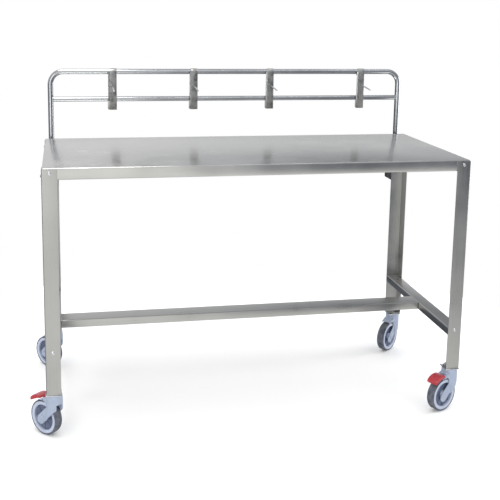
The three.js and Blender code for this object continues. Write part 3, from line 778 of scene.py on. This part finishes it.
class CART_OT_hoop_mounts(bpy.types.Operator):
    """Moulds the sockets that the hoop stands in and the guides above them"""

    bl_idname = "cart.hoop_mounts"
    bl_label = "Hoop mounts"

    wall: length("Wall", "Wall round the pockets in the mouldings' sides", 5 * MM)
    pocket: length("Pocket", "Depth of the pockets", 4 * MM)
    rounding: length("Rounding", "Rounding of the mouldings' edges", 2.5 * MM)
    head: length("Screw head", "Radius of a screw's head", 4.2 * MM)
    screw: length("Screw", "Radius of a screw, and the height of its head", 2 * MM)

    def execute(self, context):
        hoop_low, hoop_high, upright = span("rail_hoop")
        tube = (hoop_high.y - hoop_low.y) / 2
        for side in SIDES:
            for kind in ("socket", "guide"):
                node = f"hoop_{kind}_{side}"
                low, high, middle = span(node)
                bm = bmesh.new()
                add_block(bm, low, high, self.rounding, 3)
                # Pockets moulded into the two side faces leave ribs, as in any thick moulding.
                for sign in (-1, 1):
                    faces = [face for face in bm.faces if face.normal.x * sign > 0.99]
                    bmesh.ops.inset_region(bm, faces=faces, thickness=self.wall, use_even_offset=True)
                    sunk = verts_of(bmesh.ops.extrude_face_region(bm, geom=faces)["geom"])
                    bmesh.ops.delete(bm, geom=faces, context="FACES_ONLY")
                    bmesh.ops.translate(bm, verts=sunk, vec=(-sign * self.pocket, 0, 0))
                # A collar round the tube stands on the moulding's top, a little into it.
                place = Matrix.Translation((middle.x, upright.y, high.z - 0.2 * MM))
                add_turned(bm, in_metres(MOUNT_COLLAR, tube), place, 32)
                black = black_plastic(caster_settings())
                finish_piece(f"{node}_moulding", bm, "frame", black, [node])
                self.screws(node, low, high, middle)
        return {"FINISHED"}

    def screws(self, node, low, high, middle):
        """Two pan-head screws hold each moulding to its leg."""
        bm = bmesh.new()
        profile = [
            (0, -self.screw), (self.screw, -self.screw), (self.screw, 0), (self.head, 0),
            *dome_profile(self.head, self.screw, 0, 5)[1:],
        ]
        for part in (-0.32, 0.32):
            spot = Vector((middle.x + part * (high.x - low.x), high.y, middle.z))
            add_turned(bm, profile, Matrix.Translation(spot) @ facing((0, 1, 0)), 20)
        finish_piece(f"{node}_screws", bm, "frame", bolt_steel(sheet_settings()))


class CART_OT_hangers(bpy.types.Operator):
    """Bends the four hangers over the top rail, each with its peg"""

    bl_idname = "cart.hangers"
    bl_label = "Hangers"

    sheet: length("Strip", "Thickness of a hanger's strip", 1.5 * MM)
    tail: length("Tail", "How far a hook's tail hangs below the rail's centre", 16 * MM)
    wing_stop: length("Wing stop", "Height of a wing's lower end above the strip's", 37 * MM)
    corner: length("Corner", "Radius of the strip's lower left corner", 8 * MM)
    eased: length("Eased edge", "Rounding of a strip's edges", 0.4 * MM)
    slope: bpy.props.FloatProperty(
        name="Slope", description="How far a peg rises outwards", default=math.radians(5), unit="ROTATION"
    )

    def execute(self, context):
        hoop_low, hoop_high, _ = span("rail_hoop")
        tube = (hoop_high.y - hoop_low.y) / 2
        rail = Vector((0, (hoop_low.y + hoop_high.y) / 2, hoop_high.z - tube))
        for number in HANGERS:
            self.strip(number, rail)
            self.peg(number)
        return {"FINISHED"}

    def strip(self, number, rail):
        """A sheet with its wing folded out of its left edge and its top bent over the rail."""
        node = f"hanger_{number}"
        low, high, _ = span(node)
        hook = high.z - rail.z
        face = rail.y - hook
        wing = Vector((low.y - face, low.y - face, 0))
        fold = low.x + wing.length
        foot = low.z + self.wing_stop
        outline = [
            (high.x, low.z),
            *arc((low.x + self.corner, low.z + self.corner), self.corner, 270, 180, 5),
            (low.x, foot), (fold, foot), (fold, rail.z), (high.x, rail.z),
        ]
        bm = bmesh.new()
        verts = [bm.verts.new((x, face, z)) for x, z in outline]
        bm.faces.new(verts)
        tip = verts_of(bmesh.ops.extrude_edge_only(bm, edges=[bm.edges.get(verts[-3:-1])])["geom"])
        bmesh.ops.translate(bm, verts=tip, vec=wing)
        bent = bmesh.ops.spin(
            bm, geom=[bm.edges.get(verts[-2:])], cent=rail, axis=(-1, 0, 0), angle=math.pi, steps=14,
        )["geom_last"]
        tail = verts_of(bmesh.ops.extrude_edge_only(bm, edges=edges_of(bent))["geom"])
        bmesh.ops.translate(bm, verts=tail, vec=(0, 0, -self.tail))
        bmesh.ops.remove_doubles(bm, verts=bm.verts[:], dist=MERGE)
        bmesh.ops.recalc_face_normals(bm, faces=bm.faces[:])
        if min(bm.faces, key=lambda item: item.calc_center_median().z).normal.y > 0:
            bmesh.ops.reverse_faces(bm, faces=bm.faces[:])
        bmesh.ops.solidify(bm, geom=bm.faces[:], thickness=self.sheet)
        round_edges(bm, sharp_edges(bm, 30), self.eased)
        bmesh.ops.recalc_face_normals(bm, faces=bm.faces[:])
        finish_piece(f"{node}_strip", bm, node, hanger_steel(sheet_settings()), [node])

    def peg(self, number):
        """A thin rod that stands out from the strip, with a rounded tip."""
        node = f"hanger_peg_{number}"
        low, high, middle = span(node)
        radius = (high.x - low.x) / 2
        inset = radius * Vector((0, math.sin(self.slope), math.cos(self.slope)))
        root = Vector((middle.x, high.y, high.z)) - inset
        tip = Vector((middle.x, low.y, low.z)) + inset
        place = Matrix.Translation(root) @ facing(tip - root)
        reach = (tip - root).length
        rod = [(0, 0), (radius, 0), *[(x, reach - radius + y) for x, y in arc((0, 0), radius, 0, 90, 6)]]
        bm = bmesh.new()
        add_turned(bm, rod, place, 24)
        steel_rod = bolt_steel(sheet_settings())
        finish_piece(f"{node}_rod", bm, f"hanger_{number}", steel_rod, [node])


# ------------------------------------------------------------------ casters


class CART_OT_caster_bases(bpy.types.Operator):
    """Turns each caster's race and kingpin, and cuts its nut and washer"""

    bl_idname = "cart.caster_bases"
    bl_label = "Caster bases"

    plate: length("Plate", "Half the width of the square plate pressed over the race", 26.6 * MM)
    pin: length("Kingpin", "Radius of a kingpin", 6 * MM)
    race: length("Race", "Thickness of a race", 3.4 * MM)
    race_edge: length("Race edge", "Chamfer of a race", 1.2 * MM)
    across: length("Nut", "Width of a nut across its flats", 19 * MM)
    washer: length("Washer", "Thickness of the washer under a nut", 1.6 * MM)
    eased: length("Eased edge", "Rounding of a plate's and a nut's edges", 0.8 * MM)

    def execute(self, context):
        metal = bolt_steel(context.scene.cart_sheet)
        for name in CORNERS:
            self.base(f"caster_base_{name}", span(f"leg_{name}")[0].z - GAP, metal)
            self.nut(f"caster_nut_{name}", metal)
        return {"FINISHED"}

    def base(self, node, race_top, metal):
        """A kingpin turned in one with its race, under a square plate."""
        low, high, middle = span(node)
        pin, race, edge = self.pin, (high.x - low.x) / 2, self.race_edge
        race_low = race_top - self.race
        point = 1 * MM  # the chamfer of the kingpin's end
        profile = [
            (0, low.z), (pin, low.z), (pin, race_low), (race - edge, race_low), (race, race_low + edge),
            (race, race_top - edge), (race - edge, race_top), (pin, race_top), (pin, high.z - point),
            (pin - point, high.z), (0, high.z),
        ]
        bm = bmesh.new()
        add_turned(bm, profile, Matrix.Translation((middle.x, middle.y, 0)), 40)
        corner = Vector((self.plate, self.plate, 0))
        lowest = Vector((middle.x, middle.y, race_low)) - corner
        add_block(bm, lowest, Vector((middle.x, middle.y, race_top)) + corner, self.eased)
        finish_piece(f"{node}_race", bm, "frame", metal, [node])

    def nut(self, node, metal):
        """A hexagon nut on its washer."""
        low, high, middle = span(node)
        bore, rim = self.pin + GAP, self.across * 0.62
        bm = bmesh.new()
        ring = [(bore, 0), (rim, 0), (rim, self.washer), (bore, self.washer)]
        add_turned(bm, ring, Matrix.Translation((middle.x, middle.y, low.z)), 36)
        seat = Matrix.Translation((middle.x, middle.y, low.z + self.washer))
        hexagon = arc((0, 0), self.across / math.sqrt(3), 15, 315, 5)
        made = add_prism(bm, hexagon, high.z - low.z - self.washer, seat)
        round_edges(bm, edges_at(made), self.eased)
        finish_piece(f"{node}_hexagon", bm, "frame", metal, [node])


class CART_OT_housings(bpy.types.Operator):
    """Moulds the caster housings, with rounded edges, a collar and an open front"""

    bl_idname = "cart.housings"
    bl_label = "Caster housings"

    def execute(self, context):
        settings = caster_settings()
        for name in CORNERS:
            node = f"caster_housing_{name}"
            place = caster_place(name)
            bm = own_axes(node, place)
            top = max(vert.co.z for vert in bm.verts)
            add_turned(bm, in_metres(HOUSING_COLLAR, 0, top))
            mesh = mould("housing_solid", bm, settings.moulding_round, 5, self.cutters(top))
            mesh.transform(place)
            plastic = housing_plastic(settings)
            place_piece(f"{node}_moulding", mesh, f"caster_{name}", plastic, [node])
        return {"FINISHED"}

    def cutters(self, top):
        """What opens a housing's front, its groove and the space between its fender and the tread."""
        window, groove, fender = bmesh.new(), bmesh.new(), bmesh.new()
        add_block(window, WINDOW_LOW, (*WINDOW_HIGH, top - WINDOW_DROP))
        add_turned(groove, in_metres(HOUSING_GROOVE), Matrix.Translation((0, 0, top - GROOVE_DROP)))
        # The fender's sides stop short of the tread, which shows between them and the wheel's ring.
        rim = arc(FENDER_AXLE, FENDER_RADIUS, *FENDER_ARC, 30)
        add_prism(fender, [*rim, FENDER_POINT], 2 * FENDER_HALF, on_edge(-FENDER_HALF))
        return window, groove, fender


class CART_OT_wheels(bpy.types.Operator):
    """Turns the wheels: tread, raised ring, recessed ribbed disc, hub and axle"""

    bl_idname = "cart.wheels"
    bl_label = "Wheels"

    ribs: bpy.props.IntProperty(name="Ribs", description="Ribs in a wheel's recess", default=8, min=0)

    def execute(self, context):
        settings = caster_settings()
        for name in CORNERS:
            place = wheel_place(name)
            radius = span(f"wheel_tyre_{name}")[1].z / 2
            core = radius - settings.tread
            self.tread(name, place, settings, radius, core)
            self.ring(name, place, settings, core)
            self.disc(name, place, settings)
            self.axle(name, place, settings)
        return {"FINISHED"}

    def tread(self, name, place, settings, radius, core):
        """The elastic tread, crowned a little, with round shoulders."""
        half, shoulder = TREAD_HALF, radius - TREAD_CROWN - TREAD_ROUND
        bm = bmesh.new()
        add_turned(bm, [
            (core + 0.2 * MM, -half),
            *arc((shoulder, TREAD_ROUND - half), TREAD_ROUND, -90, -10, 6),
            (radius, -half * TREAD_FLAT), (radius, half * TREAD_FLAT),
            *arc((shoulder, half - TREAD_ROUND), TREAD_ROUND, 10, 90, 6),
            (core + 0.2 * MM, half),
        ], place, 72)
        rubber = tread_rubber(settings)
        finish_piece(f"tread_{name}", bm, f"wheel_{name}", rubber, [f"wheel_tyre_{name}"])

    def ring(self, name, place, settings, core):
        """The raised ring inside the tread, and the hub."""
        lip, side, edge = RING_LIP, RING_FACE - RING_LIP, HUB_REACH - HUB_EDGE
        inner, outer = settings.ring_inner + lip, core - lip
        bm = bmesh.new()
        add_turned(bm, [
            *arc((inner, -side), lip, 180, 270, 4), *arc((outer, -side), lip, -90, 0, 4),
            *arc((outer, side), lip, 0, 90, 4), *arc((inner, side), lip, 90, 180, 4),
        ], place, 72)
        add_turned(bm, [
            (HUB_BORE, -HUB_REACH), (HUB - HUB_EDGE, -HUB_REACH), (HUB, -edge),
            (HUB, edge), (HUB - HUB_EDGE, HUB_REACH), (HUB_BORE, HUB_REACH),
        ], place, 40)
        body, plastic = f"wheel_{name}", ring_plastic(settings)
        finish_piece(f"wheel_body_{name}", bm, body, plastic, [f"wheel_rim_{name}"])

    def disc(self, name, place, settings):
        """The web of the wheel, deep in its ring, with ribs from hub to ring on both sides."""
        rim, core = settings.ring_inner, HUB - OVERLAP
        bm = bmesh.new()
        web = [(core, -WEB), (rim + OVERLAP, -WEB), (rim + OVERLAP, WEB), (core, WEB)]
        add_turned(bm, web, place, 48)
        low, high = (core - OVERLAP, -RIB_HALF, -RIB), (rim + 0.6 * OVERLAP, RIB_HALF, RIB)
        for number in range(self.ribs):
            turn = Matrix.Rotation(math.tau * number / self.ribs, 4, "Z")
            before = set(bm.verts)
            add_block(bm, low, high, RIB_EDGE, 1)
            made = [vert for vert in bm.verts if vert not in before]
            bmesh.ops.transform(bm, matrix=place @ turn, verts=made)
        # The web's colour carries the painted shade of the recess.
        finish_piece(f"wheel_web_{name}", bm, f"wheel_{name}", disc_plastic_painted_shade(settings))

    def axle(self, name, place, settings):
        """An axle with domed heads, under snap-on caps of the housing's plastic."""
        body = f"caster_{name}"
        dome = dome_profile(AXLE_HEAD, AXLE_DOME, AXLE_REACH)
        shank = [(AXLE, -AXLE_REACH), (AXLE, AXLE_REACH)]
        bm = bmesh.new()
        add_turned(bm, [(x, -y) for x, y in reversed(dome)] + shank + dome, place, 32)
        metal = bolt_steel(sheet_settings())
        finish_piece(f"axle_{name}", bm, body, metal, [f"wheel_axle_{name}"])
        bm = bmesh.new()
        for side in (1, -1):
            dome = dome_profile(AXLE_HEAD + CAP_RIM, AXLE_DOME + CAP_RISE, AXLE_REACH)
            cap = [(x, side * y) for x, y in dome]
            add_turned(bm, [(0, side * AXLE_REACH), *cap[:-1], (0, cap[-1][1])], place, 32)
        finish_piece(f"axle_caps_{name}", bm, body, housing_plastic(settings))


class CART_OT_pedals(bpy.types.Operator):
    """Moulds the two red brake pedals with their domed backs, and finishes their pins"""

    bl_idname = "cart.pedals"
    bl_label = "Brake pedals"

    def execute(self, context):
        plastic = pedal_plastic(caster_settings())
        for name in BRAKED:
            node = f"brake_pedal_{name}"
            place = caster_place(name)
            bm = own_axes(node, place)
            tip, half, top = (max(vert.co[axis] for vert in bm.verts) for axis in range(3))
            # The paddle is domed along its length and ends in a lip.
            dome = [(tip - x * MM, top + z * MM) for x, z in PEDAL_DOME]
            add_prism(bm, dome, 2 * half, on_edge(-half))
            mesh = mould("pedal_solid", bm, PEDAL_GRID, 8)
            mesh.transform(place)
            place_piece(f"{node}_moulding", mesh, f"pedal_{name}", plastic, [node])
            repaint(f"brake_pin_{name}", bolt_steel(context.scene.cart_sheet))
        return {"FINISHED"}


# ------------------------------------------------------------------ the stage


class CART_OT_stage(bpy.types.Operator):
    """Lays the plain pale floor, sets the soft studio light and places the camera"""

    bl_idname = "cart.stage"
    bl_label = "Stage"

    def execute(self, context):
        stage = context.scene.cart_stage
        _, _, middle = span("worktop")
        self.floor(stage, middle)
        self.world(context.scene)
        self.lights(middle)
        self.camera(context.scene, stage, middle)
        context.scene.view_settings.view_transform = "Standard"
        return {"FINISHED"}

    def floor(self, stage, middle):
        bm = bmesh.new()
        bmesh.ops.create_circle(
            bm, cap_ends=True, segments=96, radius=stage.floor_radius,
            matrix=Matrix.Translation((middle.x, middle.y, -0.5 * MM)),
        )
        mesh = mesh_of("studio_floor", bm)
        floor = add_object("studio_floor", mesh)
        material, _, shader, _ = new_material("painted_floor")
        shader.inputs["Base Color"].default_value = stage.floor_paint
        shader.inputs["Roughness"].default_value = 1.0
        shader.inputs["Specular IOR Level"].default_value = 0.0
        mesh.materials.append(material)
        floor.visible_glossy = False

    def world(self, scene):
        """A studio whose walls are painted by direction, seen by the camera as plain white."""
        world = bpy.data.worlds.new("studio")
        scene.world = world
        world.use_nodes = True
        tree = world.node_tree
        tree.nodes.clear()
        direction = add_node(tree, "ShaderNodeTexCoord").outputs["Generated"]
        parts = add_node(tree, "ShaderNodeSeparateXYZ", links={"Vector": direction})
        front, back = (
            self.wall(tree, parts.outputs["X"], parts.outputs["Z"], rows) for rows in (FRONT_ROWS, BACK_ROWS)
        )
        side = add_node(
            tree, "ShaderNodeMapRange", {"From Min": -SIDE_BLEND, "From Max": SIDE_BLEND},
            {"Value": parts.outputs["Y"]}, interpolation_type="SMOOTHSTEP",
        )
        level = add_node(
            tree, "ShaderNodeMixRGB",
            links={"Fac": side.outputs["Result"], "Color1": front, "Color2": back},
        )
        room = add_node(tree, "ShaderNodeBackground", links={"Color": level.outputs["Color"]})
        rays = add_node(tree, "ShaderNodeLightPath")
        white = add_node(
            tree, "ShaderNodeMapRange", {"To Min": BACKDROP, "To Max": 1.0},
            {"Value": rays.outputs["Is Camera Ray"]},
        )
        backdrop = add_node(
            tree, "ShaderNodeBackground", {"Color": (1, 1, 1, 1)}, {"Strength": white.outputs["Result"]}
        )
        mix = add_node(tree, "ShaderNodeMixShader", links={
            0: rays.outputs["Is Glossy Ray"], 1: backdrop.outputs["Background"],
            2: room.outputs["Background"],
        })
        add_node(tree, "ShaderNodeOutputWorld", links={"Surface": mix.outputs["Shader"]})

    def wall(self, tree, across, up, rows):
        """The brightness of one half of the studio, mixed from its rows."""
        below, stops = rows[0]
        level = self.ramp(tree, across, stops)
        for height, stops in rows[1:]:
            rise = add_node(
                tree, "ShaderNodeMapRange", {"From Min": below, "From Max": height}, {"Value": up}
            )
            row = self.ramp(tree, across, stops)
            level = add_node(
                tree, "ShaderNodeMixRGB",
                links={"Fac": rise.outputs["Result"], "Color1": level, "Color2": row},
            ).outputs["Color"]
            below = height
        return level

    def ramp(self, tree, source, stops):
        """Brightness along one part of the direction, given as (part, brightness) stops."""
        spread = add_node(
            tree, "ShaderNodeMapRange", {"From Min": -1.0, "From Max": 1.0}, {"Value": source}
        )
        ramp = add_node(tree, "ShaderNodeValToRGB", links={"Fac": spread.outputs["Result"]})
        elements = ramp.color_ramp.elements
        while len(elements) < len(stops):
            elements.new(1.0)
        for (part, value), element in zip(stops, elements):
            element.position = (part + 1) / 2
            element.color = (value, value ** DARK_GREEN, value ** DARK_BLUE, 1)
        return ramp.outputs["Color"]

    def lights(self, middle):
        """Softboxes, which draw the bright lines along the tubes and the folds."""
        for name, offset, size, power in SOFTBOXES:
            data = bpy.data.lights.new(name, "AREA")
            data.shape = "RECTANGLE"
            data.size, data.size_y = size
            data.energy = power
            light = add_object(name, data)
            spot = Vector(offset) + Vector((middle.x, middle.y, 0))
            aim = Vector((middle.x, middle.y, AIM_HEIGHT)) - spot
            light.matrix_world = Matrix.Translation(spot) @ aim.to_track_quat("-Z", "Y").to_matrix().to_4x4()
            light.visible_camera = False

    def camera(self, scene, stage, middle):
        data = bpy.data.cameras.new("camera")
        data.lens = stage.lens
        data.sensor_width = SENSOR
        data.shift_x, data.shift_y = stage.shift
        camera = add_object("camera", data)
        heading, pitch, roll = stage.camera_turn
        forward = Vector((math.sin(heading), math.cos(heading), 0))
        ahead = forward * math.cos(pitch) + UP * math.sin(pitch)
        level = Vector((math.cos(heading), -math.sin(heading), 0))
        up = level.cross(ahead)
        right = math.cos(roll) * level + math.sin(roll) * up
        up = math.cos(roll) * up - math.sin(roll) * level
        turn = Matrix((right, up, -ahead)).transposed().to_4x4()
        spot = Vector(stage.camera_offset) + Vector((middle.x, middle.y, 0))
        camera.matrix_world = Matrix.Translation(spot) @ turn
        scene.camera = camera


# ------------------------------------------------------------------ the add-on


OPERATORS = (
    CART_OT_stage,
    CART_OT_worktop,
    CART_OT_legs,
    CART_OT_rails,
    CART_OT_bolts,
    CART_OT_hoop,
    CART_OT_hoop_mounts,
    CART_OT_hangers,
    CART_OT_caster_bases,
    CART_OT_housings,
    CART_OT_wheels,
    CART_OT_pedals,
)


class CART_PT_panel(bpy.types.Panel):
    """Lists the cart's settings and the operators that make its pieces"""

    bl_idname = "CART_PT_panel"
    bl_label = "Instrument Cart"
    bl_space_type = "VIEW_3D"
    bl_region_type = "UI"
    bl_category = "Cart"

    def draw(self, context):
        layout = self.layout
        for group in (context.scene.cart_sheet, context.scene.cart_casters, context.scene.cart_stage):
            box = layout.box()
            for name in group.bl_rna.properties.keys():
                if name not in ("rna_type", "name"):
                    box.prop(group, name)
        for operator in OPERATORS:
            layout.operator(operator.bl_idname)


GROUPS = {
    "cart_sheet": CartSheetSettings,
    "cart_casters": CartCasterSettings,
    "cart_stage": CartStageSettings,
}


def register():
    for group in (*GROUPS.values(), *OPERATORS, CART_PT_panel):
        bpy.utils.register_class(group)
    for name, group in GROUPS.items():
        setattr(bpy.types.Scene, name, bpy.props.PointerProperty(type=group))


def unregister():
    for name in GROUPS:
        delattr(bpy.types.Scene, name)
    for group in reversed((*GROUPS.values(), *OPERATORS, CART_PT_panel)):
        bpy.utils.unregister_class(group)


def main():
    register()
    for operator in OPERATORS:
        family, name = operator.bl_idname.split(".")
        getattr(getattr(bpy.ops, family), name)()


if __name__ == "__main__":
    main()
